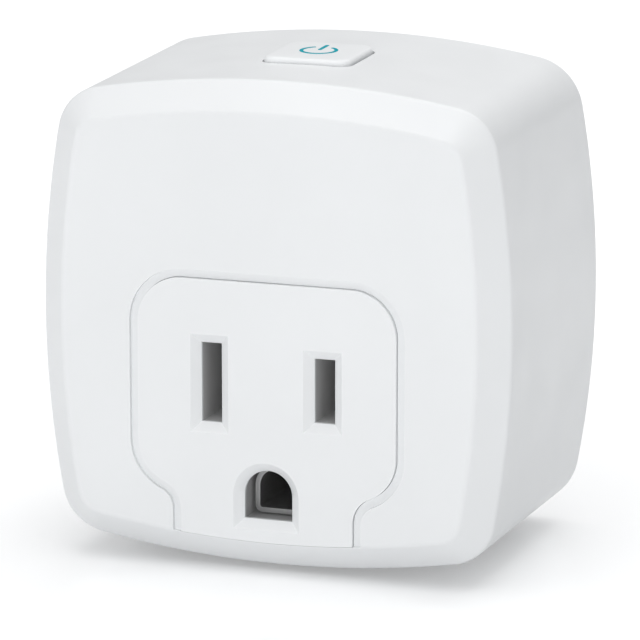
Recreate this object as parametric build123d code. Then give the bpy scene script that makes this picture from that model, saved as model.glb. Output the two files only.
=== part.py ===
from build123d import *
import os
from math import sqrt

# Smart plug: a bowed, square housing with one grounded outlet in front and a grounded plug behind.
# Millimetres, +Z up, the outlet faces -Y. The origin lies on the wall face, midway between the blades.

# Plug and outlet pattern
blade_spacing = 12.7
ground_drop = 11.88
blade_thickness = 1.52
neutral_blade_width = 7.94
line_blade_width = 6.35
blade_reach = 17.5
blade_tip_bevel = 0.6
ground_pin_diameter = 4.8
ground_pin_reach = 21.0
ground_pin_nose = 1.6
ground_pin_start = 0.1

# Housing
body_depth = 32.75
housing_half = 26.3
housing_rise = 6.22
side_bow = 2.55
corner_radius = 5.5
bevel_width = 3.13
bevel_depth = 2.93
flare = 0.72
side_wall = 2.0
face_wall = 2.0
cavity_shoulder = 0.37
cavity_ramp = 2.2
mouth_wall = 1.6
rear_plate = 2.4
cover_gap = 0.12
screw_inset = 5.5
screw_up = 11.5
screw_boss_radius = 2.7
screw_shank_radius = 1.2
screw_head_radius = 2.3
screw_head_height = 1.3
screw_recess = 1.6
screw_length = 11.0
screw_fit = 0.1
screw_drive_depth = 0.7
screw_drive_width = 0.7

# Outlet plate and its groove
plate_half = 14.47
plate_top = 11.32
plate_corner = 5.0
shoulder_radius = 4.9
shoulder_height = -6.68
neck_half = 9.66
neck_radius = 3.1
groove_width = 0.92
groove_depth = 0.5
plate_fit = 0.04
plate_flange = 1.2
plate_flange_thickness = 1.0
slot_width = 2.27
neutral_slot_height = 8.66
line_slot_height = 6.97
ground_hole_radius = 2.68
ground_hole_drop = 2.7
funnel_width = 0.98
funnel_depth = 0.86
outlet_lip = 1.25
throat_depth = 7.5

# Contact carrier and contacts
part_fit = 0.05
part_gap = 0.3
carrier_half = 11.4
carrier_top = 7.6
carrier_bottom = -16.0
carrier_leg = 1.6
chamber_half_width = 2.1
chamber_half_height = 5.35
ground_chamber_half = 2.95
collar_wall = 0.75
contact_thickness = 0.5
contact_front = 7.9
contact_mouth_gap = 1.15
contact_pinch_gap = 0.55
contact_body_gap = 0.95
contact_pinch_run = 2.9
contact_base_depth = 19.0
neutral_contact_height = 7.0
line_contact_height = 5.6
ground_contact_front = 3.55
ground_contact_width = 4.88
ground_contact_height = 5.38
ground_contact_wall = 0.52
ground_contact_corner = 0.8
ground_contact_length = 17.75
ground_slit = 0.6

# Blade holder and conductors behind the carrier
holder_gap = 1.0
holder_thickness = 2.0
holder_half = 12.0
holder_rim = 1.4
blade_shoulder = 1.1
pin_shank_radius = 2.1
pin_shoulder_radius = 3.3
tail_length = 3.6
rivet_radius = 1.5
bar_thickness = 0.8
bar_width = 2.4
bar_foot = 3.0
bar_board_reach = 0.8

# Push button and tactile switch
button_width = 9.8
button_length = 9.8
button_corner = 1.5
button_rise = 0.6
button_edge = 0.38
button_gap = 0.24
button_depth = 17.2
button_lip = 0.9
button_lip_thickness = 1.0
button_fit = 0.1
button_travel = 0.3
stem_radius = 1.5
icon_radius = 2.1
icon_stroke = 0.42
icon_bar_length = 2.5
icon_bar_start = 0.3
icon_opening = 1.5
icon_thickness = 0.3
icon_proud = 0.02
switch_size = 6.0
switch_height = 3.0
switch_lid = 0.3
switch_floor = 0.8
switch_pocket_radius = 2.4
plunger_radius = 1.7
plunger_collar_radius = 2.1
plunger_collar = 0.6
plunger_stand = 1.0
dome_radius = 2.2
dome_thickness = 0.15

# Main board and its rails
board_drop = 7.92
board_thickness = 1.6
board_inset = 4.8
board_front = 4.2
board_rear = 4.0
rail_grip = 0.9
rail_thickness = 0.8
rail_root = 0.5

# Relay
relay_inset = 9.1
relay_middle_gap = 2.0
relay_front = 5.0
relay_length = 15.2
relay_clearance = 1.2
relay_wall = 0.7
relay_base_thickness = 1.4
core_radius = 1.8
core_across = 5.4
core_along = 7.8
core_gap = 0.6
bobbin_wall = 0.6
bobbin_flange = 4.0
bobbin_flange_thickness = 0.7
coil_radius = 3.7
yoke_width = 5.0
yoke_thickness = 0.9
yoke_reach = 4.6
armature_thickness = 0.9
armature_nose = 3.6
spring_thickness = 0.25
spring_width = 3.4
spring_reach = 5.9
relay_contact_radius = 0.8
relay_contact_height = 0.4
relay_contact_gap = 0.58
terminal_radius = 0.45
terminal_tail = 1.0
terminal_fit = 0.05

# Parts below and above the board
capacitor_radius = 3.5
capacitor_height = 11.5
capacitor_edge = 0.5
capacitor_across = 3.4
fuse_radius = 1.6
varistor_radius = 4.4
varistor_thickness = 3.4
inductor_core_share = 0.57
inductor_height = 7.5
inductor_flange = 0.9
rectifier_size = 5.0
regulator_width = 5.0
regulator_length = 4.0
chip_height = 1.7
radio_board_inset = 9.3
radio_board_thickness = 0.8
radio_board_length = 17.0
radio_board_height = 13.5
radio_can_thickness = 2.0
radio_can_length = 11.0
radio_can_height = 9.0
led_size = 1.6
led_height = 0.9
pin_side = 0.6
pin_pitch = 2.0
pin_count = 6

front = -body_depth
board_half = housing_half - board_inset
board_top = housing_rise + housing_half - board_drop
board_bottom = board_top - board_thickness
slots = [(-blade_spacing / 2, neutral_slot_height), (blade_spacing / 2, line_slot_height)]
blades = [(-blade_spacing / 2, neutral_blade_width), (blade_spacing / 2, line_blade_width)]
holder_front = -rear_plate - holder_gap - holder_thickness
carrier_front = front + face_wall + plate_flange_thickness + part_fit
contact_base = front + contact_base_depth
carrier_back = contact_base - part_fit
tail_end = holder_front - tail_length
screw_across = housing_half - screw_inset
button_y = front + button_depth
screw_places = [(x, housing_rise + z) for x in (-screw_across, screw_across) for z in (-screw_up, screw_up)]


# Shared shapes
def at_depth(y, height=0):
    """Drawing plane facing the front: its own X and Y are the part's X and Z."""
    return Plane(origin=(0, y, height), x_dir=(1, 0, 0), z_dir=(0, -1, 0))


def prism(face, y_front, y_rear, height=0):
    """Solid of a face drawn in X and Z, from one depth back to another."""
    return extrude(at_depth(y_rear, height) * face, y_rear - y_front)


def block(x, y, z):
    """Box between two ends on each axis."""
    centre = Pos((x[0] + x[1]) / 2, (y[0] + y[1]) / 2, (z[0] + z[1]) / 2)
    return centre * Box(x[1] - x[0], y[1] - y[0], z[1] - z[0])


def post(x, y, z, radius):
    """Upright cylinder between two heights."""
    return Pos(x, y, (z[0] + z[1]) / 2) * Cylinder(radius, z[1] - z[0])


def rod(x, z, y, radius):
    """Cylinder that runs front to back between two depths."""
    return Pos(x, (y[0] + y[1]) / 2, z) * Rot(90, 0, 0) * Cylinder(radius, y[1] - y[0])


def outline(offset):
    """Square with bowed sides and round corners, grown by an offset."""
    corner = housing_half - side_bow
    radius = (corner**2 + side_bow**2) / (2 * side_bow)
    centre = radius - housing_half
    tip = (sqrt(2 * (radius + offset) ** 2 - centre**2) - centre) / 2
    half = housing_half + offset
    sides = [
        ThreePointArc((tip, -tip), (half, 0), (tip, tip)),
        ThreePointArc((tip, tip), (0, half), (-tip, tip)),
        ThreePointArc((-tip, tip), (-half, 0), (-tip, -tip)),
        ThreePointArc((-tip, -tip), (0, -half), (tip, -tip)),
    ]
    face = Face(Wire(sides))
    return face.fillet_2d(corner_radius + offset, face.vertices())


def tapered(*sections):
    """Solid through bowed outlines, each given by its depth and offset."""
    faces = [at_depth(y, housing_rise) * outline(offset) for y, offset in sections]
    return loft(faces, ruled=True)


def flare_at(y):
    """How far the flared side stands out at a depth, from the back of the bevel."""
    start = front + bevel_depth
    return flare * (y - start) / -start


def envelope(grow):
    """Outer form of the housing, grown by an offset all round."""
    return tapered((front, grow - bevel_width), (front + bevel_depth, grow), (0, grow + flare))


def cavity(shrink):
    """Space inside the walls, shrunk by an offset all round."""
    back = -rear_plate
    ramp_end = front + face_wall + cavity_ramp
    return tapered(
        (front + face_wall, -bevel_width - cavity_shoulder - shrink),
        (ramp_end, flare_at(ramp_end) - side_wall - shrink),
        (back, flare_at(back) - side_wall - shrink),
    )


def keyhole(offset):
    """Outline of the outlet plate, grown by an offset, open below the face's lower edge."""
    half = plate_half + offset
    neck = neck_half + offset
    top = plate_top + offset
    corner = plate_corner + offset
    bend_x = plate_half - shoulder_radius
    waist_x = neck_half + neck_radius
    span = shoulder_radius + neck_radius
    waist_z = shoulder_height - sqrt(span**2 - (waist_x - bend_x) ** 2)
    share = (shoulder_radius + offset) / span
    turn = (bend_x + (waist_x - bend_x) * share, shoulder_height + (waist_z - shoulder_height) * share)
    below = housing_rise - housing_half
    side = Line((half, top - corner), (half, shoulder_height))
    bend = TangentArc(side @ 1, turn, tangent=side % 1)
    waist = TangentArc(bend @ 1, (neck, waist_z), tangent=bend % 1)
    stem = Line(waist @ 1, (neck, below))
    round_top = TangentArc((half, top - corner), (half - corner, top), tangent=(0, 1))
    right = [round_top, side, bend, waist, stem]
    left = [mirror(edge, Plane.YZ) for edge in right]
    ends = [Line((half - corner, top), (corner - half, top)), Line((neck, below), (-neck, below))]
    return make_face([edge for item in right + left + ends for edge in item.edges()])


def ground_shape(offset):
    """Outline of the ground hole: a round top on a square foot."""
    radius = ground_hole_radius + offset
    foot = ground_hole_drop + offset
    arch = ThreePointArc((radius, 0), (0, radius), (-radius, 0))
    legs = Polyline((-radius, 0), (-radius, -foot), (radius, -foot), (radius, 0))
    return Pos(0, -ground_drop) * make_face([*arch.edges(), *legs.edges()])


def slot_shape(x, height, offset):
    """Outline of one flat slot, grown by an offset."""
    return Pos(x, 0) * Rectangle(slot_width + 2 * offset, height + 2 * offset)


# Housing
def front_cover():
    """Bevelled face and flared sides in one shell, open at the back."""
    body = envelope(0)
    shell = body - cavity(0)
    for x, z in screw_places:
        shell += rod(x, z, (front + face_wall, -rear_plate), screw_boss_radius) & body
    for side in (-1, 1):
        ends = sorted((side * (board_half - rail_grip), side * housing_half))
        for z in (board_bottom - part_fit - rail_thickness, board_top + part_fit):
            rail = block(ends, (front + board_front, -rear_plate), (z, z + rail_thickness))
            shell += rail & cavity(-rail_root)
    shell -= prism(outline(flare - mouth_wall), -rear_plate, 0, housing_rise)
    for x, z in screw_places:
        shell -= rod(x, z, (-rear_plate - screw_length, 0), screw_shank_radius + screw_fit)
    groove = prism(keyhole(groove_width), front, front + groove_depth)
    shell -= groove & prism(outline(-bevel_width), front, 0, housing_rise)
    seat = prism(keyhole(plate_fit), front, front + face_wall)
    shell -= seat & prism(outline(plate_fit - bevel_width), front, 0, housing_rise)
    shell -= button_column(button_gap, housing_rise, 2 * housing_half)
    return shell


def outlet_plate():
    """Thin white plate with three funnelled openings, flanged behind the face."""
    behind = front + face_wall
    plate = prism(keyhole(0), front, behind) & prism(outline(-bevel_width), front, 0, housing_rise)
    flange = prism(keyhole(plate_flange), behind, behind + plate_flange_thickness)
    plate += flange & cavity(part_fit)
    shapes = [lambda grow, x=x, height=height: slot_shape(x, height, grow) for x, height in slots]
    for shape in [*shapes, ground_shape]:
        mouth = [at_depth(front) * shape(funnel_width), at_depth(front + funnel_depth) * shape(0)]
        plate -= loft(mouth, ruled=True)
        plate -= prism(shape(0), front, 0)
    for collar in collars(collar_wall + part_fit):
        plate -= prism(collar, front + outlet_lip, 0)
    return plate


def rear_cover():
    """Flat back plate that closes the mouth and lies on the wall."""
    cover = prism(outline(flare - mouth_wall - cover_gap), -rear_plate, 0, housing_rise)
    for x, width in blades:
        cover -= prism(Pos(x, 0) * blade_section(width, part_fit), -rear_plate, 0)
    cover -= rod(0, -ground_drop, (-rear_plate, 0), ground_pin_diameter / 2 + part_fit)
    for x, z in screw_places:
        cover -= rod(x, z, (-rear_plate, 0), screw_shank_radius + screw_fit)
        cover -= rod(x, z, (-screw_recess, 0), screw_head_radius + screw_fit)
    return cover


def housing_screws():
    """Four pan-head screws from the back, each with a cross recess."""
    screws = []
    for x, z in screw_places:
        head = rod(x, z, (-screw_recess, screw_head_height - screw_recess), screw_head_radius)
        shank = rod(x, z, (screw_fit - rear_plate - screw_length, -screw_recess), screw_shank_radius)
        screw = head + shank
        top = screw_head_height - screw_recess
        for turn in (0, 90):
            drive = Pos(x, z) * Rot(0, 0, turn) * Rectangle(screw_head_radius, screw_drive_width)
            screw -= prism(drive, top - screw_drive_depth, top)
        screws.append(screw)
    return Compound(children=[solid for screw in screws for solid in screw.solids()])


# Outlet and plug
def collars(wall):
    """Outer outlines of the three chambers behind the outlet plate."""
    width = 2 * (chamber_half_width + wall)
    height = 2 * (chamber_half_height + wall)
    ground = 2 * (ground_chamber_half + wall)
    flats = [Pos(x, 0) * Rectangle(width, height) for x, slot_height in slots]
    return [*flats, Pos(0, -ground_drop) * Rectangle(ground, ground)]


def contact_carrier():
    """Moulded block with a throat and a chamber for each contact, on four legs."""
    width = 2 * carrier_half
    height = carrier_top - carrier_bottom
    middle = Pos(0, (carrier_top + carrier_bottom) / 2)
    body = prism(middle * Rectangle(width, height), carrier_front, carrier_back)
    body = body & cavity(part_fit)
    for collar in collars(collar_wall):
        body += prism(collar, front + outlet_lip + part_fit, carrier_front)
    for x in (-carrier_half, carrier_half - carrier_leg):
        for z in (carrier_top - 2 * carrier_leg, carrier_bottom + carrier_leg):
            body += block((x, x + carrier_leg), (carrier_back, holder_front), (z, z + carrier_leg))
    *flat_chambers, ground_chamber = collars(0)
    for chamber, (x, height) in zip(flat_chambers, slots):
        body -= prism(chamber, front + throat_depth, carrier_back)
        body -= prism(slot_shape(x, height, part_fit), front, front + throat_depth)
    return body - prism(ground_chamber, front, carrier_back)


def flat_contact(x, height, tail_side, tail_reach):
    """Pair of sprung leaves on a base, with a tail beside the blade line."""
    base = contact_base
    line = [
        (contact_mouth_gap, front + contact_front),
        (contact_pinch_gap, front + contact_front + contact_pinch_run),
        (contact_body_gap, front + contact_front + 2 * contact_pinch_run),
        (contact_body_gap, base),
    ]
    outer = [(gap + contact_thickness, y) for gap, y in reversed(line)]
    leaf = make_face(Polyline(*line, *outer, close=True).edges())
    right = extrude(Pos(0, 0, -height / 2) * leaf, height)
    half = contact_body_gap + contact_thickness
    contact = right + mirror(right, Plane.YZ)
    contact += block((-half, half), (base, base + contact_thickness), (-height / 2, height / 2))
    inner = blade_thickness / 2
    tail_x = sorted((tail_side * inner, tail_side * (inner + bar_thickness)))
    contact += block(tail_x, (base, tail_reach), (-bar_foot, bar_foot))
    return Pos(x, 0) * contact


def sleeve_section(inset):
    """Outline of the ground contact, shrunk by an inset: a round top on a foot with soft corners."""
    radius = ground_contact_width / 2 - inset
    foot = ground_contact_height - ground_contact_width / 2 - inset
    legs = RectangleRounded(2 * radius, 2 * foot, ground_contact_corner - inset)
    legs = legs & Pos(0, -foot / 2) * Rectangle(2 * radius, foot)
    return Pos(0, (ground_contact_height - ground_contact_width) / 2) * (legs + Circle(radius))


def ground_contact():
    """Rolled sleeve with a round top, and a slit along it."""
    section = sleeve_section(0) - sleeve_section(ground_contact_wall)
    start = front + ground_contact_front
    sleeve = prism(section, start, start + ground_contact_length, -ground_drop)
    slit = Pos(0, ground_contact_height / 2) * Rectangle(ground_slit, ground_contact_height / 2)
    mouth = start + ground_contact_wall
    return sleeve - prism(slit, mouth, start + ground_contact_length, -ground_drop)


def blade_section(width, grow):
    """Cross-section of a flat blade, grown by a clearance."""
    return Rectangle(blade_thickness + 2 * grow, width + 2 * grow)


def blade(x, width):
    """Flat blade with a shoulder inside the back plate and a bevelled tip."""
    body = prism(Pos(x, 0) * blade_section(width, 0), tail_end, blade_reach)
    tip = body.faces().sort_by(Axis.Y)[-1]
    body = chamfer(tip.edges(), blade_tip_bevel)
    shoulder = Pos(x, 0) * blade_section(width, blade_shoulder)
    return body + prism(shoulder, part_fit - rear_plate - holder_gap, -rear_plate)


def ground_pin():
    """Round pin with a long rounded nose, on a thinner shank with a shoulder and a riveted tail."""
    radius = ground_pin_diameter / 2
    pin = rod(0, -ground_drop, (ground_pin_start, ground_pin_reach), radius)
    nose = pin.faces().sort_by(Axis.Y)[-1]
    pin = fillet(nose.edges(), ground_pin_nose)
    pin += rod(0, -ground_drop, (holder_front, ground_pin_start), pin_shank_radius)
    pin += rod(0, -ground_drop, (part_fit - rear_plate - holder_gap, -rear_plate), pin_shoulder_radius)
    return pin + rod(0, -ground_drop, (holder_front - 2 * bar_thickness, holder_front), rivet_radius)


def blade_holder():
    """Dark plate that clamps the blades to the back plate, with a raised rim."""
    low = carrier_bottom
    middle = Pos(0, (carrier_top + low) / 2)
    sheet = Rectangle(2 * holder_half, carrier_top - low)
    opening = Rectangle(2 * (holder_half - holder_rim), carrier_top - low - 2 * holder_rim)
    holder = prism(middle * sheet, holder_front, -rear_plate)
    holder -= prism(middle * opening, -rear_plate - holder_gap, -rear_plate)
    holder -= rod(0, -ground_drop, (-rear_plate - holder_gap, 0), pin_shoulder_radius + part_fit)
    for x, width in blades:
        holder -= prism(Pos(x, 0) * blade_section(width, part_fit), holder_front, 0)
    return holder - rod(0, -ground_drop, (holder_front, 0), pin_shank_radius + part_fit)


def ground_strap():
    """Bent strip from the riveted end of the pin to the underside of the ground contact."""
    half = ground_contact_width / 2
    top = -ground_drop - ground_contact_height / 2
    plate_y = (holder_front - bar_thickness, holder_front)
    plate = block((-half, half), plate_y, (top - bar_thickness, rivet_radius + half - ground_drop))
    plate -= rod(0, -ground_drop, plate_y, rivet_radius)
    foot = block((-half, half), (carrier_back + part_gap, plate_y[1]), (top - bar_thickness, top))
    return plate + foot


def riser(x, y):
    """Upright bar from a conductor's tail through the board."""
    return block((x, x + bar_thickness), (y, y + bar_width), (-bar_foot, board_top + bar_board_reach))


riser_places = {
    "neutral_bar": (blade_thickness / 2 - blade_spacing / 2, tail_end),
    "line_in_bar": (blade_spacing / 2 + blade_thickness / 2, tail_end),
    "line_out_bar": (
        blade_spacing / 2 - blade_thickness / 2 - 2 * bar_thickness,
        contact_base + contact_thickness + part_fit,
    ),
}


# Button and switch
def button_column(grow, low, high):
    """Upright column of the button's outline, grown by a clearance."""
    sheet = RectangleRounded(button_width + 2 * grow, button_length + 2 * grow, button_corner + grow)
    return extrude(Pos(0, button_y, low) * sheet, high - low)


plunger_top = board_top + switch_height + switch_lid + plunger_stand
collar_low = board_top + switch_height - part_fit - plunger_collar
dome_low = board_top + switch_floor + part_fit
dome_rise = collar_low - button_travel - 2 * part_fit - dome_thickness - dome_low
lip_low = housing_rise + housing_half - side_wall - button_lip_thickness


def icon_column():
    """Upright column of the power symbol: an open ring with a bar through the opening."""
    ring = Circle(icon_radius) - Circle(icon_radius - icon_stroke)
    ring -= Pos(0, icon_radius) * Rectangle(icon_opening, 2 * (icon_radius - icon_stroke))
    bar = Pos(0, icon_bar_start + icon_bar_length / 2) * RectangleRounded(
        icon_stroke, icon_bar_length, icon_stroke / 2 - part_fit
    )
    return extrude(Pos(0, button_y, housing_rise) * (ring + bar), 2 * housing_half)


def button_cap():
    """Soft-edged cap that follows the top of the housing, with a lip and a stem below."""
    cap = button_column(0, lip_low, 2 * housing_half) & envelope(button_rise)
    crown = cap.faces().sort_by(Axis.Z)[-1]
    cap = chamfer(crown.edges(), button_edge)
    cap += button_column(button_lip, lip_low, 2 * housing_half) & cavity(button_fit)
    cap += post(0, button_y, (plunger_top + part_fit, lip_low), stem_radius)
    return cap - power_icon()


def power_icon():
    """Tinted light guide in the shape of the power symbol, set into the cap."""
    return (icon_column() & envelope(button_rise + icon_proud)) - envelope(button_rise - icon_thickness)


def switch_base():
    """Square switch body with a round pocket."""
    half = switch_size / 2
    top = board_top + switch_height
    body = block((-half, half), (button_y - half, button_y + half), (board_top, top))
    return body - post(0, button_y, (board_top + switch_floor, top), switch_pocket_radius)


def switch_lid_plate():
    """Metal lid with a hole for the plunger."""
    half = switch_size / 2
    low = board_top + switch_height
    lid = block((-half, half), (button_y - half, button_y + half), (low, low + switch_lid))
    return lid - post(0, button_y, (low, low + switch_lid), plunger_radius + button_fit)


def switch_plunger():
    """Round plunger kept under the lid by its collar."""
    collar_top = collar_low + plunger_collar
    collar = post(0, button_y, (collar_low, collar_top), plunger_collar_radius)
    return collar + post(0, button_y, (collar_top, plunger_top), plunger_radius)


def switch_dome():
    """Shallow snap dome under the plunger."""
    arc = ThreePointArc((-dome_radius, 0), (0, dome_rise), (dome_radius, 0))
    under = -dome_thickness
    inner = ThreePointArc((-dome_radius, under), (0, dome_rise + under), (dome_radius, under))
    closing = [Line(arc @ 0, inner @ 0), Line(arc @ 1, inner @ 1)]
    profile = make_face([edge for item in (arc, inner, *closing) for edge in item.edges()])
    half_plane = Pos(dome_radius, 0) * Rectangle(2 * dome_radius, 4 * dome_radius)
    dome = revolve(Plane.XZ * (profile & half_plane), Axis.Z)
    return Pos(0, button_y, dome_low + dome_thickness) * dome


# Board
def main_board():
    """Circuit board held in the side rails, drilled for the risers and relay terminals."""
    y = (front + board_front, -board_rear)
    board = block((-board_half, board_half), y, (board_bottom, board_top))
    for x, start in riser_places.values():
        hole_x = (x - part_fit, x + bar_thickness + part_fit)
        board -= block(hole_x, (start - part_fit, start + bar_width + part_fit), (board_bottom, board_top))
    for x, y in terminal_places:
        board -= post(x, y, (board_bottom, board_top), terminal_radius + terminal_fit)
    return board


# Relay, hung below the board
relay_x = (relay_inset - housing_half, -relay_middle_gap)
relay_y = (front + relay_front, front + relay_front + relay_length)
relay_low = carrier_top + relay_clearance
base_low = board_bottom - relay_base_thickness
core_x = relay_x[0] + core_across
core_y = relay_y[0] + core_along
yoke_y = core_y + yoke_reach
armature_top = relay_low + relay_wall + 2 * armature_thickness + spring_thickness
core_low = armature_top + core_gap
hinge_z = armature_top + part_fit
terminal_places = [
    (relay_x[0] + 2, relay_y[1] - 2),
    (relay_x[1] - 2, relay_y[1] - 2),
    (relay_x[1] - 2, relay_y[0] + 2),
]


def inset(ends, by):
    """Two ends moved inwards by the same amount."""
    return (ends[0] + by, ends[1] - by)


def relay_case():
    """Thin box around the relay, open towards the board."""
    case = block(relay_x, relay_y, (relay_low, board_bottom - part_fit))
    height = (relay_low + relay_wall, board_bottom)
    return case - block(inset(relay_x, relay_wall), inset(relay_y, relay_wall), height)


def relay_base():
    """Base that closes the case, drilled for the terminals."""
    gap = relay_wall + part_fit
    base = block(inset(relay_x, gap), inset(relay_y, gap), (base_low, board_bottom))
    for x, y in terminal_places:
        base -= post(x, y, (base_low, board_bottom), terminal_radius + terminal_fit)
    return base


def relay_core():
    """Iron core on the coil's axis."""
    return post(core_x, core_y, (core_low, base_low - yoke_thickness), core_radius)


def relay_bobbin():
    """Spool with two flanges on the core."""
    low = core_low + part_fit
    high = base_low - yoke_thickness
    spool = post(core_x, core_y, (low, high), core_radius + part_fit + bobbin_wall)
    spool += post(core_x, core_y, (low, low + bobbin_flange_thickness), bobbin_flange)
    spool += post(core_x, core_y, (high - bobbin_flange_thickness, high), bobbin_flange)
    return spool - post(core_x, core_y, (low, high), core_radius + part_fit)


def relay_coil():
    """Copper winding between the spool's flanges."""
    low = core_low + part_fit + bobbin_flange_thickness + part_fit
    high = base_low - yoke_thickness - bobbin_flange_thickness - part_fit
    inner = core_radius + part_fit + bobbin_wall + part_fit
    return post(core_x, core_y, (low, high), coil_radius) - post(core_x, core_y, (low, high), inner)


def relay_yoke():
    """Bent iron strip over the core and down behind the coil."""
    x = (core_x - yoke_width / 2, core_x + yoke_width / 2)
    top = block(x, (core_y - core_radius, yoke_y + yoke_thickness), (base_low - yoke_thickness, base_low))
    leg = block(x, (yoke_y, yoke_y + yoke_thickness), (hinge_z, base_low))
    return top + leg


def relay_armature():
    """Iron flap hinged on the lower end of the yoke."""
    x = (core_x - yoke_width / 2, core_x + yoke_width / 2)
    y = (core_y - armature_nose, yoke_y + yoke_thickness)
    return block(x, y, (armature_top - armature_thickness, armature_top))


def relay_contact_spring():
    """Copper strip under the armature with its silver contact at the free end."""
    x = (core_x - spring_width / 2, core_x + spring_width / 2)
    low = armature_top - armature_thickness - spring_thickness
    spring = block(x, (core_y - spring_reach, yoke_y), (low, low + spring_thickness))
    y = core_y - spring_reach + relay_contact_radius
    top = low + spring_thickness + relay_contact_height
    return spring + post(core_x, y, (low + spring_thickness, top), relay_contact_radius)


def relay_fixed_contact():
    """Bent strip from the base to the contact above the moving one."""
    x = (core_x - spring_width / 2, core_x + spring_width / 2)
    y = core_y - spring_reach + relay_contact_radius
    low = armature_top - armature_thickness + relay_contact_height + relay_contact_gap
    foot_low = low + relay_contact_height
    strip_y = (relay_y[0] + relay_wall + part_fit, relay_y[0] + relay_wall + part_fit + contact_thickness)
    foot = block(x, (strip_y[0], y + relay_contact_radius), (foot_low, foot_low + contact_thickness))
    strip = block(x, strip_y, (foot_low, base_low))
    return foot + strip + post(core_x, y, (low, foot_low), relay_contact_radius)


def relay_terminals():
    """Three round terminals through the base and the board."""
    height = (base_low, board_top + terminal_tail)
    pins = [post(x, y, height, terminal_radius) for x, y in terminal_places]
    return Compound(children=[solid for pin in pins for solid in pin.solids()])


# Small parts on the board
def bulk_capacitors():
    """Two upright cans below the board, in front of the line riser."""
    cans = []
    rear = riser_places["line_out_bar"][1] - part_gap
    for step in (0, 1):
        y = rear - capacitor_radius - step * (2 * capacitor_radius + part_gap)
        can = post(capacitor_across, y, (board_bottom - capacitor_height, board_bottom), capacitor_radius)
        cans.append(fillet(can.faces().sort_by(Axis.Z)[0].edges(), capacitor_edge))
    return Compound(children=[solid for can in cans for solid in can.solids()])


radio_board_across = housing_half - radio_board_inset
small_x = capacitor_across + capacitor_radius + varistor_thickness / 2 + part_gap
varistor_y = tail_end - varistor_radius - part_gap


def fuse_resistor():
    """Round fusible resistor lying below the board, in front of the varistor."""
    ends = (relay_y[0], varistor_y - varistor_radius - part_gap)
    return rod(small_x, board_bottom - fuse_radius, ends, fuse_radius)


def varistor():
    """Round varistor disc standing below the board."""
    disc = Rot(0, 90, 0) * Cylinder(varistor_radius, varistor_thickness)
    return Pos(small_x, varistor_y, board_bottom - varistor_radius) * disc


def power_inductor():
    """Drum core with two flanges, between the fuse and the radio board."""
    left, right = inset((small_x + fuse_radius, radio_board_across - pin_side), part_gap)
    radius = (right - left) / 2
    x = left + radius
    y = relay_y[0] + radius
    low = board_bottom - inductor_height
    drum = post(x, y, (low, board_bottom), inductor_core_share * radius)
    for z in (low, board_bottom - inductor_flange):
        drum += post(x, y, (z, z + inductor_flange), radius)
    return drum


def chip(x, y, length, width):
    """Flat black package on top of the board."""
    return block((x, x + width), (y, y + length), (board_top, board_top + chip_height))


def radio_board():
    """Upright daughter board below the right side of the main board."""
    x = (radio_board_across, radio_board_across + radio_board_thickness)
    y = (relay_y[0], relay_y[0] + radio_board_length)
    return block(x, y, (board_bottom - radio_board_height, board_bottom))


def radio_can():
    """Metal shield over the radio chip, on the inner face of its board."""
    x = (radio_board_across - radio_can_thickness, radio_board_across)
    y = relay_y[0] + radio_board_length - radio_can_length
    low = board_bottom - radio_board_height
    return block(x, (y, y + radio_can_length), (low, low + radio_can_height))


def header_pins():
    """Row of square pins along the top edge of the radio board."""
    pins = []
    x = radio_board_across - pin_side
    for step in range(pin_count):
        y = relay_y[0] + pin_pitch * (step + 1)
        pin = block((x, x + pin_side), (y, y + pin_side), (board_bottom - 2 * pin_pitch, board_bottom))
        pins.append(pin)
    return Compound(children=[solid for pin in pins for solid in pin.solids()])


def status_led():
    """Side light beside the switch that lights the symbol."""
    x = switch_size / 2 + led_size
    return block((x, x + led_size), (button_y - led_size, button_y), (board_top, board_top + led_height))


neutral_x, line_x = (x for x, width in blades)
line_tail_end = contact_base + contact_thickness + bar_width
nodes = {
    "front_cover": front_cover(),
    "outlet_plate": outlet_plate(),
    "rear_cover": rear_cover(),
    "housing_screws": housing_screws(),
    "contact_carrier": contact_carrier(),
    "neutral_contact": flat_contact(neutral_x, neutral_contact_height, -1, tail_end + bar_width),
    "line_contact": flat_contact(line_x, line_contact_height, -1, line_tail_end),
    "ground_contact": ground_contact(),
    "neutral_blade": blade(neutral_x, neutral_blade_width),
    "line_blade": blade(line_x, line_blade_width),
    "ground_pin": ground_pin(),
    "blade_holder": blade_holder(),
    "ground_strap": ground_strap(),
    "button_cap": button_cap(),
    "power_icon": power_icon(),
    "switch_base": switch_base(),
    "switch_lid": switch_lid_plate(),
    "switch_plunger": switch_plunger(),
    "switch_dome": switch_dome(),
    "main_board": main_board(),
    "relay_case": relay_case(),
    "relay_base": relay_base(),
    "relay_core": relay_core(),
    "relay_bobbin": relay_bobbin(),
    "relay_coil": relay_coil(),
    "relay_yoke": relay_yoke(),
    "relay_armature": relay_armature(),
    "relay_contact_spring": relay_contact_spring(),
    "relay_fixed_contact": relay_fixed_contact(),
    "relay_terminals": relay_terminals(),
    "bulk_capacitors": bulk_capacitors(),
    "fuse_resistor": fuse_resistor(),
    "varistor": varistor(),
    "power_inductor": power_inductor(),
    "radio_board": radio_board(),
    "radio_can": radio_can(),
    "header_pins": header_pins(),
    "status_led": status_led(),
    "bridge_rectifier": chip(-2 * switch_size, button_y - switch_size, rectifier_size, rectifier_size),
    "regulator_chip": chip(2 * switch_size, button_y, regulator_length, regulator_width),
}
for name, (x, y) in riser_places.items():
    nodes[name] = riser(x, y)

os.makedirs("parts", exist_ok=True)
for name, shape in nodes.items():
    export_step(shape, f"parts/{name}.step")
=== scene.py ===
import math

import bmesh
import bpy
from mathutils import Matrix, Vector


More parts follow.
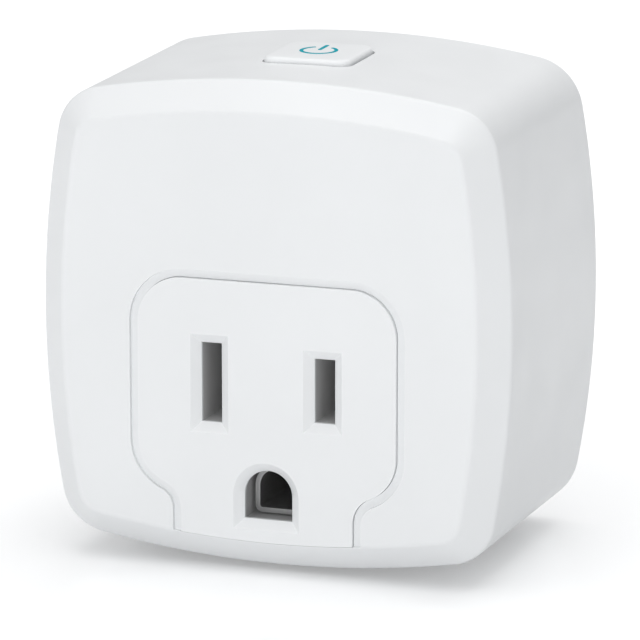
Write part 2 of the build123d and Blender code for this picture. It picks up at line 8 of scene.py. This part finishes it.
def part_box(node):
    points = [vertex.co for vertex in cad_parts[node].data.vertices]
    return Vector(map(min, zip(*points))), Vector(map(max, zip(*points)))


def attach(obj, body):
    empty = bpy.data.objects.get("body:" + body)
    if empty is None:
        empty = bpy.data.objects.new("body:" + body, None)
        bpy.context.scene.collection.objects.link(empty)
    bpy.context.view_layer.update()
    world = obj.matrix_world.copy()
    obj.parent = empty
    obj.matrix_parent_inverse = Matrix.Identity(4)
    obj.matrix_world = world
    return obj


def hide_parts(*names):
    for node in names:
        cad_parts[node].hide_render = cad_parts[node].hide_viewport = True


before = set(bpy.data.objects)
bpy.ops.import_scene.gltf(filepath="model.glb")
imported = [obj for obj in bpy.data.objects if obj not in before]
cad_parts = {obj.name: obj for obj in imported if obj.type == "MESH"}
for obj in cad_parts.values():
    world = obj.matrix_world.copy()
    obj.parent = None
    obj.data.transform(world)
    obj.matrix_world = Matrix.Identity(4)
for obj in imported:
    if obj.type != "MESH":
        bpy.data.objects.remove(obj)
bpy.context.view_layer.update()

MM = 0.001

# Housing form, in millimetres, as the solids have it
HALF = 26.3
BOW = 2.55
CORNER = 5.5
BEVEL_WIDTH = 3.13
BEVEL_DEPTH = 2.93
FLARE = 0.72
WALL = 2.0
FACE_WALL = 2.0
SHOULDER = 0.37
RAMP = 2.2
MOUTH_WALL = 1.6
REAR_PLATE = 2.4

# Outlet plate; a chamber is a pocket behind it, with its middle and its half sizes
PLATE_HALF = 14.47
PLATE_TOP = 11.32
PLATE_CORNER = 5.0
BEND_RADIUS = 4.9
BEND_HEIGHT = -6.68
NECK_HALF = 9.66
NECK_RADIUS = 3.1
GROOVE = 0.92
GROOVE_DEPTH = 0.5
PLATE_FIT = 0.04
FLANGE = 1.2
FLANGE_THICKNESS = 1.0
FLANGE_CLEARANCE = 0.1
FLANGE_STEP = 0.01
SLOT_WIDTH = 2.27
SLOT_X = 6.35
SLOTS = ((-SLOT_X, 8.66), (SLOT_X, 6.97))
GROUND_HEIGHT = -11.88
GROUND_RADIUS = 2.68
GROUND_FOOT = 2.7
FUNNEL = 0.98
FUNNEL_DEPTH = 0.86
FUNNEL_MOUTH = ((0.06, -0.02), (-0.05, 0.08))
FUNNEL_THROAT = (0.03, 0.05)
LIP = 1.25
CHAMBERS = ((-SLOT_X, 0.0, 2.9, 6.15), (SLOT_X, 0.0, 2.9, 6.15), (0.0, GROUND_HEIGHT, 3.75, 3.75))

# Button
BUTTON_WIDTH = 9.8
BUTTON_LENGTH = 9.8
BUTTON_CORNER = 1.5
BUTTON_RISE = 0.6
BUTTON_EDGE = 0.45
BUTTON_GAP = 0.24
BUTTON_LIP = 0.9
LIP_FROM = 1.0
LIP_TO = 1.6
TOP_SHARES = (0.85, 0.6, 0.35, 0.12)
ICON_RADIUS = 2.1
ICON_STROKE = 0.42
ICON_BAR = (0.3, 2.8)
ICON_OPENING = 34.0
ICON_LEVELS = (-0.25, 0.02)

# Softness of the moulded edges
FACE_CREASE = 0.9
SIDE_CREASE = 0.9
RIM_EDGE = 0.3
FINE_EDGE = 0.06
FACE_RUN = 2.0

# How finely the curves are divided, and how far a cutter passes what it cuts
SIDE_STEPS = 40
CORNER_STEPS = 14
ARC_STEPS = 12
EDGE_STEPS = 5
EDGE_TURNS = (0, 0.4, 0.8, 1.2, math.pi / 2)
BUTTON_STEPS = 8
ROUND_STEPS = 6
CAP_POINTS = 5
ICON_STEPS = 48
PAST = 1.0
SQUARE = ((-1, -1), (1, -1), (1, 1), (-1, 1))

# Studio, in metres, watts and degrees; a light is seen in reflections or not
FLOOR_REACH = 2.5
# The floor's lift to white is smaller near the object than far from it: painted shade on the floor round
# the object
PAINTED_SHADE_NEAR_LIFT = 0.24
FAR_LIFT = 0.42
PAINTED_SHADE_FROM = 0.035
PAINTED_SHADE_TO = 0.12
AMBIENT = 0.445
LIGHTS = (
    ("overhead", (0.0, -0.1, 1.3), (1.2, 1.2), 7.9, True),
    ("behind", (0.15, 0.8, 0.9), (1.0, 0.7), 3.1, True),
    ("left", (-1.1, -0.4, 0.35), (0.6, 0.8), 0.5, True),
    ("front", (0.1, -1.3, 0.13), (0.9, 0.3), 6.1, False),
)
CAMERA_AZIMUTH = 19.1
CAMERA_ELEVATION = 13.08
CAMERA_DISTANCE = 0.4505
CAMERA_LENS = 242.0
AIM_RIGHT = 0.00609
AIM_UP = 0.0017

low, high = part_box("front_cover")
FRONT = low.y / MM
CENTRE_Z = high.z / MM - HALF - FLARE
button_low, button_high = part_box("button_cap")
BUTTON_Y = (button_low.y + button_high.y) / 2 / MM


# Mesh helpers: all shapes are worked out in millimetres and stored in metres
def add_object(name, verts, faces):
    """Makes a mesh object from points in millimetres."""
    mesh = bpy.data.meshes.new(name)
    mesh.from_pydata([Vector(v) * MM for v in verts], [], faces)
    tidy = bmesh.new()
    tidy.from_mesh(mesh)
    bmesh.ops.recalc_face_normals(tidy, faces=tidy.faces)
    tidy.to_mesh(mesh)
    tidy.free()
    obj = bpy.data.objects.new(name, mesh)
    bpy.context.scene.collection.objects.link(obj)
    return obj


def skin(rings):
    """Faces between rings of equal length, capped at both ends."""
    count = len(rings[0])
    verts = [point for ring in rings for point in ring]
    faces = []
    for i in range(len(rings) - 1):
        a, b = i * count, (i + 1) * count
        for j in range(count):
            k = (j + 1) % count
            faces.append((a + j, a + k, b + k, b + j))
    faces.append(tuple(range(count)))
    faces.append(tuple(range(len(verts) - 1, len(verts) - count - 1, -1)))
    return verts, faces


def carve(target, cutters):
    """Cuts closed shapes out of a closed shape for good."""
    for cutter in cutters:
        cut = target.modifiers.new("cut", "BOOLEAN")
        cut.operation = "DIFFERENCE"
        cut.solver = "EXACT"
        cut.object = cutter
    graph = bpy.context.evaluated_depsgraph_get()
    mesh = bpy.data.meshes.new_from_object(target.evaluated_get(graph))
    target.modifiers.clear()
    target.data = mesh
    for cutter in cutters:
        bpy.data.objects.remove(cutter)


def soften(obj, angle=34):
    """Smooth shading that keeps flat faces flat and true edges sharp."""
    mesh = obj.data
    mesh.polygons.foreach_set("use_smooth", [True] * len(mesh.polygons))
    mesh.set_sharp_from_angle(angle=math.radians(angle))
    weight = obj.modifiers.new("even_shading", "WEIGHTED_NORMAL")
    weight.keep_sharp = True
    weight.weight = 100


def arc(centre, radius, start, end, steps):
    """Points along an arc, angles in degrees, both ends included."""
    angles = [math.radians(start + (end - start) * i / steps) for i in range(steps + 1)]
    return [(centre[0] + radius * math.cos(a), centre[1] + radius * math.sin(a)) for a in angles]


def rounded(points, radii):
    """A profile with its inner corners turned into arcs."""
    path = [points[0]]
    for before, corner, after, radius in zip(points, points[1:], points[2:], radii):
        a = (Vector(before) - Vector(corner)).normalized()
        b = (Vector(after) - Vector(corner)).normalized()
        half = a.angle(b) / 2
        reach = radius / math.tan(half)
        centre = Vector(corner) + (a + b).normalized() * (radius / math.sin(half))
        start = Vector(corner) + a * reach - centre
        end = Vector(corner) + b * reach - centre
        turn = start.angle_signed(end)
        for i in range(EDGE_STEPS + 1):
            spot = start.copy()
            spot.rotate(Matrix.Rotation(-turn * i / EDGE_STEPS, 2))
            path.append(tuple(centre + spot))
    path.append(points[-1])
    return path


def edge_round(side):
    """A fine rounded edge as offsets and depths, on the outer side (1) or the inner side (-1)."""
    return [(side * FINE_EDGE * (1 - math.sin(t)), FINE_EDGE * (1 - math.cos(t))) for t in EDGE_TURNS]


# Outlines in X and Z
bow_corner = HALF - BOW
bow_radius = (bow_corner**2 + BOW**2) / (2 * BOW)
bow_centre = bow_radius - HALF
corner_at = (math.sqrt(2 * (bow_radius - CORNER) ** 2 - bow_centre**2) - bow_centre) / 2
bow_angle = math.degrees(math.atan2(corner_at, corner_at + bow_centre))


def bowed(offset):
    """Square with bowed sides and round corners about the housing's centre."""
    quarter = arc((-bow_centre, 0), bow_radius + offset, -bow_angle, bow_angle, SIDE_STEPS)[:-1]
    quarter += arc((corner_at, corner_at), CORNER + offset, bow_angle, 90 - bow_angle, CORNER_STEPS)[:-1]
    points = []
    for turn in range(4):
        c, s = round(math.cos(turn * math.pi / 2)), round(math.sin(turn * math.pi / 2))
        points += [(x * c - z * s, x * s + z * c + CENTRE_Z) for x, z in quarter]
    return points


def bottom_edge(x, offset):
    """Height of the bowed outline's lower side at a place across."""
    return CENTRE_Z + bow_centre - math.sqrt((bow_radius + offset) ** 2 - x**2)


def keyhole(offset, foot_offset):
    """Outline of the outlet plate, closed along the lower edge of the face."""
    waist = (NECK_HALF + NECK_RADIUS, 0)
    bend_x = PLATE_HALF - BEND_RADIUS
    span = BEND_RADIUS + NECK_RADIUS
    drop = math.sqrt(span**2 - (waist[0] - bend_x) ** 2)
    lean = math.degrees(math.atan2(drop, waist[0] - bend_x))
    neck = NECK_HALF + offset
    right = [(neck, bottom_edge(neck, foot_offset))]
    right += arc((waist[0], BEND_HEIGHT - drop), NECK_RADIUS - offset, 180, 180 - lean, ARC_STEPS)
    right += arc((bend_x, BEND_HEIGHT), BEND_RADIUS + offset, -lean, 0, ARC_STEPS)[1:]
    top_arc = (PLATE_HALF - PLATE_CORNER, PLATE_TOP - PLATE_CORNER)
    right += arc(top_arc, PLATE_CORNER + offset, 0, 90, ARC_STEPS)
    left = [(-x, z) for x, z in reversed(right)]
    steps = [neck * (2 * i / ARC_STEPS - 1) for i in range(1, ARC_STEPS)]
    foot = [(x, bottom_edge(x, foot_offset)) for x in steps]
    return right + left + foot


def upright(points, y):
    """Points in X and Z at a depth."""
    return [(x, y, z) for x, z in points]


def flare_at(y):
    """How far the flared side stands out at a depth."""
    start = FRONT + BEVEL_DEPTH
    return FLARE * (y - start) / -start


# Housing
def front_shell():
    """The front cover: bevelled face, flared sides, rim and inner walls, then its cut-outs."""
    ramp_end = FRONT + FACE_WALL + RAMP
    mouth = FLARE - MOUTH_WALL
    corners = [
        (-BEVEL_WIDTH - FACE_RUN, FRONT),
        (-BEVEL_WIDTH, FRONT),
        (0, FRONT + BEVEL_DEPTH),
        (FLARE, 0),
        (mouth, 0),
        (mouth, -REAR_PLATE),
    ]
    profile = rounded(corners, (FACE_CREASE, SIDE_CREASE, RIM_EDGE, FINE_EDGE))
    profile += [
        (flare_at(-REAR_PLATE) - WALL, -REAR_PLATE),
        (flare_at(ramp_end) - WALL, ramp_end),
        (-BEVEL_WIDTH - SHOULDER, FRONT + FACE_WALL),
    ]
    shell = add_object("front_shell", *skin([upright(bowed(offset), y) for offset, y in profile]))
    edge = -BEVEL_WIDTH
    channel = [upright(keyhole(GROOVE + FINE_EDGE, edge), FRONT - PAST)]
    channel += [upright(keyhole(GROOVE + out, edge), FRONT + down) for out, down in edge_round(1)]
    channel += [upright(keyhole(GROOVE, edge), FRONT + GROOVE_DEPTH)]
    seat_depths = (FRONT - 2 * PAST, FRONT + FACE_WALL + PAST)
    seat = [upright(keyhole(PLATE_FIT, edge + PLATE_FIT), y) for y in seat_depths]
    window = [level(button_outline(BUTTON_GAP), z) for z in (CENTRE_Z + HALF / 2, CENTRE_Z + 2 * HALF)]
    carve(shell, [add_object("cutter", *skin(rings)) for rings in (channel, seat, window)])
    soften(shell)
    return shell


def outlet_face():
    """The outlet plate with its three funnels and the pockets behind them."""
    edge = -BEVEL_WIDTH
    rings = [upright(keyhole(out, edge + out), FRONT + down) for out, down in edge_round(-1)]
    behind = FRONT + FACE_WALL
    rings += [upright(keyhole(0, edge), behind - FLANGE_STEP)]
    flange_foot = edge - SHOULDER - FLANGE_CLEARANCE
    rings += [upright(keyhole(FLANGE, flange_foot), y) for y in (behind, behind + FLANGE_THICKNESS)]
    plate = add_object("outlet_face", *skin(rings))
    cutters = [funnel(slot_outline(x, height)) for x, height in SLOTS]
    cutters.append(funnel(ground_outline))
    for x, z, half_width, half_height in CHAMBERS:
        box = [(x + a * half_width, z + b * half_height) for a, b in SQUARE]
        pocket = [upright(box, y) for y in (FRONT + LIP, FRONT + 2 * FACE_WALL)]
        cutters.append(add_object("cutter", *skin(pocket)))
    carve(plate, cutters)
    soften(plate, angle=20)
    return plate


def slot_outline(x, height):
    """Outline of a flat slot as a function of how far it is grown."""

    def outline(grow):
        half_width, half_height = SLOT_WIDTH / 2 + grow, height / 2 + grow
        return [(x + a * half_width, b * half_height) for a, b in SQUARE]

    return outline


def ground_outline(grow):
    """Outline of the ground hole: a round top on a square foot."""
    radius = GROUND_RADIUS + grow
    foot = GROUND_HEIGHT - GROUND_FOOT - grow
    return arc((0, GROUND_HEIGHT), radius, 0, 180, 2 * ARC_STEPS) + [(-radius, foot), (radius, foot)]


def funnel(outline):
    """Cutter for one opening: a straight hole with a bevelled mouth."""
    throat = FRONT + FUNNEL_DEPTH
    soft_out, soft_down = FUNNEL_THROAT
    steps = [(FUNNEL + PAST, FRONT - PAST)]
    steps += [(FUNNEL + out, FRONT + down) for out, down in FUNNEL_MOUTH]
    steps += [(soft_out, throat - soft_down), (0, throat), (0, FRONT + 2 * FACE_WALL)]
    return add_object("cutter", *skin([upright(outline(grow), y) for grow, y in steps]))


# Button
def button_outline(grow):
    """Rounded rectangle of the button in X and Y."""
    radius = BUTTON_CORNER + grow
    x = BUTTON_WIDTH / 2 - BUTTON_CORNER
    y = BUTTON_LENGTH / 2 - BUTTON_CORNER
    points = []
    for a, b, start in ((x, y, 0), (-x, y, 90), (-x, -y, 180), (x, -y, 270)):
        points += arc((a, BUTTON_Y + b), radius, start, start + 90, BUTTON_STEPS)
    return points


def level(points, z):
    """Points in X and Y at a height."""
    return [(x, y, z) for x, y in points]


def top_height(x, y, rise):
    """Height of the housing's top, raised by some amount, over a place."""
    reach = bow_radius + flare_at(y) + rise
    return CENTRE_Z - bow_centre + math.sqrt(reach**2 - x**2)


def button_key():
    """The button cap: lip, sides, soft edge and bowed top."""
    foot = button_low.z / MM
    rings = [level(button_outline(BUTTON_LIP), foot + z) for z in (LIP_FROM, LIP_TO)]
    rings.append(level(button_outline(0), foot + LIP_TO))
    for i in range(ROUND_STEPS + 1):
        t = math.pi / 2 * i / ROUND_STEPS
        inwards, drop = BUTTON_EDGE * (1 - math.cos(t)), BUTTON_EDGE * (1 - math.sin(t))
        ring = button_outline(-inwards)
        rings.append([(x, y, top_height(x, y, BUTTON_RISE) - drop) for x, y in ring])
    edge = button_outline(-BUTTON_EDGE)
    for share in TOP_SHARES:
        ring = [(x * share, BUTTON_Y + (y - BUTTON_Y) * share) for x, y in edge]
        rings.append([(x, y, top_height(x, y, BUTTON_RISE)) for x, y in ring])
    key = add_object("button_key", *skin(rings))
    soften(key, angle=40)
    return key


def power_symbol():
    """The open ring and its bar, as a thin raised inlay that follows the button's top."""
    middle = ICON_RADIUS - ICON_STROKE / 2
    ring = arc((0, 0), middle, 90 + ICON_OPENING, 450 - ICON_OPENING, ICON_STEPS)
    bar_low, bar_high = ICON_BAR
    bar = [(0, bar_low + (bar_high - bar_low) * i / BUTTON_STEPS) for i in range(BUTTON_STEPS + 1)]
    verts, faces = [], []
    for path in (ring, bar):
        strip_verts, strip_faces = inlay(path)
        faces += [tuple(i + len(verts) for i in face) for face in strip_faces]
        verts += strip_verts
    symbol = add_object("power_symbol", verts, faces)
    soften(symbol, angle=40)
    return symbol


def inlay(path):
    """A strip with round ends along a path on the button's top."""
    half = ICON_STROKE / 2
    points = [Vector(p) for p in path]
    runs = [(b - a).normalized() for a, b in zip(points, points[1:])]
    bends = [((a + b) / 2).normalized() for a, b in zip(runs, runs[1:])]
    tangents = [runs[0], *bends, runs[-1]]
    left = [p + Vector((-t.y, t.x)) * half for p, t in zip(points, tangents)]
    right = [p - Vector((-t.y, t.x)) * half for p, t in zip(points, tangents)]

    def cap(centre, along):
        side = Vector((-along.y, along.x))
        turns = [math.pi * i / (CAP_POINTS + 1) for i in range(1, CAP_POINTS + 1)]
        return [centre + along * half * math.sin(a) + side * half * math.cos(a) for a in turns]

    outline = left + cap(points[-1], tangents[-1]) + right[::-1] + cap(points[0], -tangents[0])
    placed = [(p.x, p.y + BUTTON_Y) for p in outline]
    rings = [[(x, y, top_height(x, y, BUTTON_RISE) + up) for x, y in placed] for up in ICON_LEVELS]
    count = len(left)
    total = len(outline)
    across = 2 * count + CAP_POINTS - 1
    verts, faces = skin(rings)
    faces = faces[:-2]
    for base, flip in ((0, True), (total, False)):
        strip = [(i, i + 1, across - 1 - i, across - i) for i in range(count - 1)]
        strip.append(tuple(range(count - 1, count + CAP_POINTS + 1)))
        strip.append((0, *range(total - CAP_POINTS - 1, total)))
        for face in strip:
            placed_face = tuple(base + i for i in face)
            faces.append(placed_face[::-1] if flip else placed_face)
    return verts, faces


# Materials
def nodes_of(name):
    """A new material with its node tree, shader and object coordinates."""
    mat = bpy.data.materials.new(name)
    mat.use_nodes = True
    tree = mat.node_tree
    shader = tree.nodes["Principled BSDF"]
    place = tree.nodes.new("ShaderNodeTexCoord").outputs["Object"]
    return mat, tree, shader, place


def noise(tree, place, scale, detail=3.0, stretch=None):
    """A noise texture's value at a scale given per metre."""
    if stretch:
        mapping = tree.nodes.new("ShaderNodeMapping")
        mapping.inputs["Scale"].default_value = stretch
        tree.links.new(place, mapping.inputs["Vector"])
        place = mapping.outputs["Vector"]
    texture = tree.nodes.new("ShaderNodeTexNoise")
    texture.inputs["Scale"].default_value = scale
    texture.inputs["Detail"].default_value = detail
    tree.links.new(place, texture.inputs["Vector"])
    return texture.outputs["Fac"]


def remap(tree, value, low, high, start=0.3, end=0.7):
    """A value spread over a new range."""
    node = tree.nodes.new("ShaderNodeMapRange")
    for key, number in (("From Min", start), ("From Max", end), ("To Min", low), ("To Max", high)):
        node.inputs[key].default_value = number
    tree.links.new(value, node.inputs["Value"])
    return node.outputs["Result"]


def blend_colours(tree, factor, first, second):
    """A mix of two colours, each a tuple or a socket."""
    node = tree.nodes.new("ShaderNodeMix")
    node.data_type = "RGBA"
    tree.links.new(factor, node.inputs["Factor"])
    for socket, colour in ((node.inputs[6], first), (node.inputs[7], second)):
        if isinstance(colour, tuple):
            socket.default_value = (*colour, 1)
        else:
            tree.links.new(colour, socket)
    return node.outputs[2]


def edge_mask(tree, radius):
    """1 near convex and concave edges, 0 on open faces."""
    bevel = tree.nodes.new("ShaderNodeBevel")
    bevel.samples = 4
    bevel.inputs["Radius"].default_value = radius * MM
    geometry = tree.nodes.new("ShaderNodeNewGeometry")
    dot = tree.nodes.new("ShaderNodeVectorMath")
    dot.operation = "DOT_PRODUCT"
    tree.links.new(bevel.outputs["Normal"], dot.inputs[0])
    tree.links.new(geometry.outputs["Normal"], dot.inputs[1])
    return remap(tree, dot.outputs["Value"], 1.0, 0.0, 0.9, 1.0)


def add_bump(tree, shader, value, height, strength=0.4):
    """Relief of a height in millimetres."""
    bump = tree.nodes.new("ShaderNodeBump")
    bump.inputs["Strength"].default_value = strength
    bump.inputs["Distance"].default_value = height * MM
    tree.links.new(value, bump.inputs["Height"])
    tree.links.new(bump.outputs["Normal"], shader.inputs["Normal"])


def shade(colour, factor):
    """A colour made darker or lighter."""
    return tuple(min(1.0, c * factor) for c in colour)


def moulded(name, colour, roughness, grain=0.004, tone=0.965, worn=1.02):
    """Moulded plastic: faint mottling, fine spark-eroded grain, edges polished by handling."""
    mat, tree, shader, place = nodes_of(name)
    cloud = noise(tree, place, 45, 4)
    body = blend_colours(tree, remap(tree, cloud, 0, 1), shade(colour, tone), colour)
    edges = edge_mask(tree, 0.35)
    tree.links.new(blend_colours(tree, edges, body, shade(colour, worn)), shader.inputs["Base Color"])
    smear = noise(tree, place, 160, 5)
    tree.links.new(remap(tree, smear, roughness - 0.05, roughness + 0.07), shader.inputs["Roughness"])
    shader.inputs["IOR"].default_value = 1.49
    add_bump(tree, shader, noise(tree, place, 5200, 2), grain)
    return mat


def metal(name, colour, roughness, stretch=(1, 1, 1), metallic=1.0):
    """Drawn or stamped metal: streaks along one direction, dull patches and bright edges."""
    mat, tree, shader, place = nodes_of(name)
    shader.inputs["Metallic"].default_value = metallic
    patches = noise(tree, place, 180, 4)
    body = blend_colours(tree, remap(tree, patches, 0, 1), shade(colour, 0.8), colour)
    edges = edge_mask(tree, 0.15)
    tree.links.new(blend_colours(tree, edges, body, shade(colour, 1.12)), shader.inputs["Base Color"])
    streaks = noise(tree, place, 900, 3, stretch)
    tree.links.new(remap(tree, streaks, roughness - 0.08, roughness + 0.12), shader.inputs["Roughness"])
    add_bump(tree, shader, streaks, 0.006)
    return mat


def circuit_board(name):
    """Green solder mask over copper traces, with drilled pads."""
    mat, tree, shader, place = nodes_of(name)
    bricks = tree.nodes.new("ShaderNodeTexBrick")
    bricks.inputs["Scale"].default_value = 260
    bricks.inputs["Mortar Size"].default_value = 0.12
    tree.links.new(place, bricks.inputs["Vector"])
    mask = blend_colours(tree, bricks.outputs["Fac"], (0.012, 0.13, 0.05), (0.03, 0.24, 0.09))
    dots = tree.nodes.new("ShaderNodeTexVoronoi")
    dots.inputs["Scale"].default_value = 420
    tree.links.new(place, dots.inputs["Vector"])
    pads = remap(tree, dots.outputs["Distance"], 1, 0, 0.16, 0.2)
    tree.links.new(blend_colours(tree, pads, mask, (0.7, 0.66, 0.55)), shader.inputs["Base Color"])
    tree.links.new(remap(tree, noise(tree, place, 300), 0.22, 0.42), shader.inputs["Roughness"])
    add_bump(tree, shader, bricks.outputs["Fac"], 0.03)
    return mat


def wound_wire(name, colour, turns):
    """Enamelled winding: fine bands round the upright axis."""
    mat, tree, shader, place = nodes_of(name)
    shader.inputs["Metallic"].default_value = 0.8
    wave = tree.nodes.new("ShaderNodeTexWave")
    wave.bands_direction = "Z"
    wave.inputs["Scale"].default_value = turns
    tree.links.new(place, wave.inputs["Vector"])
    bands = wave.outputs["Fac"]
    tree.links.new(blend_colours(tree, bands, shade(colour, 0.45), colour), shader.inputs["Base Color"])
    tree.links.new(remap(tree, noise(tree, place, 500), 0.25, 0.4), shader.inputs["Roughness"])
    add_bump(tree, shader, bands, 0.08, 1.0)
    return mat


def light_guide(name, colour):
    """Tinted inlay, slightly cloudy, with a soft sheen."""
    mat, tree, shader, place = nodes_of(name)
    cloud = noise(tree, place, 1500, 3)
    tint = blend_colours(tree, remap(tree, cloud, 0, 1), shade(colour, 0.86), colour)
    tree.links.new(tint, shader.inputs["Base Color"])
    tree.links.new(remap(tree, noise(tree, place, 900), 0.45, 0.6), shader.inputs["Roughness"])
    shader.inputs["Specular IOR Level"].default_value = 0.03
    add_bump(tree, shader, cloud, 0.004)
    return mat


def dress(obj, mat):
    """Gives an object one material in place of what it had."""
    obj.data.materials.clear()
    obj.data.materials.append(mat)


WHITE = (0.865, 0.878, 0.888)
PLATE_WHITE = (0.87, 0.883, 0.893)
white_shell = moulded("white_shell", WHITE, 0.36)
white_plate = moulded("white_plate", PLATE_WHITE, 0.38)
white_key = moulded("white_key", shade(PLATE_WHITE, 1.02), 0.4)
# Carrier behind the outlets: grey moulding, its darkness also painted shade inside the slots and the ground
# hole
grey_moulding_and_painted_shade = moulded("grey_moulding_and_painted_shade", (0.66, 0.66, 0.66), 0.5, 0.01, 0.92, 1.05)
dark_moulding = moulded("dark_moulding", (0.2, 0.2, 0.21), 0.5, 0.01, 0.85, 1.2)
black_moulding = moulded("black_moulding", (0.03, 0.03, 0.033), 0.42, 0.01, 0.8, 1.5)
amber_moulding = moulded("amber_moulding", (0.5, 0.34, 0.14), 0.4, 0.01, 0.85, 1.1)
blue_coating = moulded("blue_coating", (0.04, 0.13, 0.38), 0.35, 0.02, 0.85, 1.2)
brass = metal("brass", (0.78, 0.58, 0.27), 0.28, (1, 8, 1))
contact_metal = metal("contact_metal", (0.66, 0.66, 0.66), 0.42, (1, 8, 1), metallic=0.87)
nickel = metal("nickel", (0.74, 0.72, 0.68), 0.2, (1, 0.2, 6))
steel = metal("steel", (0.6, 0.6, 0.61), 0.3, (4, 1, 1))
copper = metal("copper", (0.83, 0.42, 0.26), 0.3)
aluminium = metal("aluminium", (0.75, 0.76, 0.78), 0.3, (6, 6, 1))
board = circuit_board("circuit_board")
winding = wound_wire("winding", (0.75, 0.3, 0.12), 700)
teal = light_guide("teal_guide", (0.0, 0.38, 0.46))

carried = {
    white_shell: ["rear_cover"],
    # the carrier's grey stands partly for painted shade inside the slots
    grey_moulding_and_painted_shade: ["contact_carrier"],
    dark_moulding: ["blade_holder", "relay_case", "relay_base"],
    black_moulding: [
        "switch_base", "switch_plunger", "power_inductor", "bridge_rectifier", "regulator_chip",
    ],
    amber_moulding: ["relay_bobbin", "fuse_resistor"],
    blue_coating: ["varistor"],
    brass: ["neutral_bar", "line_in_bar", "line_out_bar", "ground_strap", "relay_terminals", "header_pins"],
    contact_metal: ["neutral_contact", "line_contact", "ground_contact"],
    nickel: ["neutral_blade", "line_blade", "ground_pin"],
    steel: [
        "housing_screws", "switch_lid", "switch_dome", "relay_core", "relay_yoke", "relay_armature",
        "radio_can",
    ],
    copper: ["relay_contact_spring", "relay_fixed_contact"],
    aluminium: ["bulk_capacitors"],
    board: ["main_board", "radio_board"],
    winding: ["relay_coil"],
    teal: ["status_led"],
}
for mat, names in carried.items():
    for name in names:
        dress(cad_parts[name], mat)

for build, node, body, mat, slot in (
    (front_shell, "front_cover", "housing", white_shell, "housing_white"),
    (outlet_face, "outlet_plate", "housing", white_plate, "outlet_white"),
    (button_key, "button_cap", "button", white_key, "button_white"),
    (power_symbol, "power_icon", "button", teal, "teal_guide"),
):
    piece = build()
    dress(piece, mat)
    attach(piece, body)
    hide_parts(node)


# Stage
def studio_floor():
    """White glossy floor: it keeps the shadow; what the camera sees is lifted to white, less near the
    object as painted shade.
    """
    mat, tree, shader, place = nodes_of("floor_white")
    shader.inputs["Base Color"].default_value = (0.87, 0.875, 0.88, 1)
    shader.inputs["Roughness"].default_value = 0.13
    shader.inputs["IOR"].default_value = 1.25
    path = tree.nodes.new("ShaderNodeLightPath")
    seen = path.outputs["Is Camera Ray"]
    for other in ("Is Glossy Ray", "Is Transmission Ray"):
        most = tree.nodes.new("ShaderNodeMath")
        most.operation = "MAXIMUM"
        tree.links.new(seen, most.inputs[0])
        tree.links.new(path.outputs[other], most.inputs[1])
        seen = most.outputs[0]
    away = tree.nodes.new("ShaderNodeVectorMath")
    away.operation = "LENGTH"
    tree.links.new(place, away.inputs[0])
    lift = tree.nodes.new("ShaderNodeMath")
    lift.operation = "MULTIPLY"
    tree.links.new(seen, lift.inputs[0])
    # the lift is smaller near the object than far away: painted shade on the floor round it
    spread = remap(tree, away.outputs["Value"], PAINTED_SHADE_NEAR_LIFT, FAR_LIFT, PAINTED_SHADE_FROM, PAINTED_SHADE_TO)
    tree.links.new(spread, lift.inputs[1])
    glow = tree.nodes.new("ShaderNodeEmission")
    tree.links.new(lift.outputs[0], glow.inputs["Strength"])
    both = tree.nodes.new("ShaderNodeAddShader")
    tree.links.new(shader.outputs[0], both.inputs[0])
    tree.links.new(glow.outputs[0], both.inputs[1])
    tree.links.new(both.outputs[0], tree.nodes["Material Output"].inputs["Surface"])
    reach = FLOOR_REACH / MM
    corners = [(a * reach, b * reach, low.z / MM) for a, b in SQUARE]
    floor = add_object("floor", corners, [(0, 1, 2, 3)])
    floor.data.materials.append(mat)


def area_light(name, place, size, power, mirrored):
    """A soft box aimed at the middle of the object."""
    data = bpy.data.lights.new(name, "AREA")
    data.shape = "RECTANGLE"
    data.size, data.size_y = size
    data.energy = power
    light = bpy.data.objects.new(name, data)
    bpy.context.scene.collection.objects.link(light)
    light.location = place
    middle = Vector((0, FRONT / 2 * MM, CENTRE_Z * MM))
    light.rotation_euler = (middle - Vector(place)).to_track_quat("-Z", "Y").to_euler()
    light.visible_glossy = mirrored


def studio():
    """Even world light and four soft boxes, most of it from above and in front."""
    world = bpy.data.worlds.new("studio")
    bpy.context.scene.world = world
    world.use_nodes = True
    tree = world.node_tree
    background = tree.nodes["Background"]
    background.inputs["Color"].default_value = (0.985, 0.992, 1, 1)
    background.inputs["Strength"].default_value = AMBIENT
    for name, place, size, power, mirrored in LIGHTS:
        area_light(name, place, size, power, mirrored)


def photo_camera():
    """Long lens, a little to the right of the front and above it."""
    data = bpy.data.cameras.new("camera")
    data.lens = CAMERA_LENS
    data.sensor_width = 36.0
    data.clip_start, data.clip_end = 0.01, 20
    camera = bpy.data.objects.new("camera", data)
    bpy.context.scene.collection.objects.link(camera)
    azimuth = math.radians(CAMERA_AZIMUTH)
    elevation = math.radians(CAMERA_ELEVATION)
    aim = Vector((AIM_RIGHT, FRONT * MM, CENTRE_Z * MM + AIM_UP))
    level_out = math.cos(elevation)
    back = Vector((math.sin(azimuth) * level_out, -math.cos(azimuth) * level_out, math.sin(elevation)))
    camera.location = aim + back * CAMERA_DISTANCE
    camera.rotation_euler = (-back).to_track_quat("-Z", "Y").to_euler()
    bpy.context.scene.camera = camera


studio_floor()
studio()
photo_camera()
bpy.context.scene.view_settings.view_transform = "Standard"
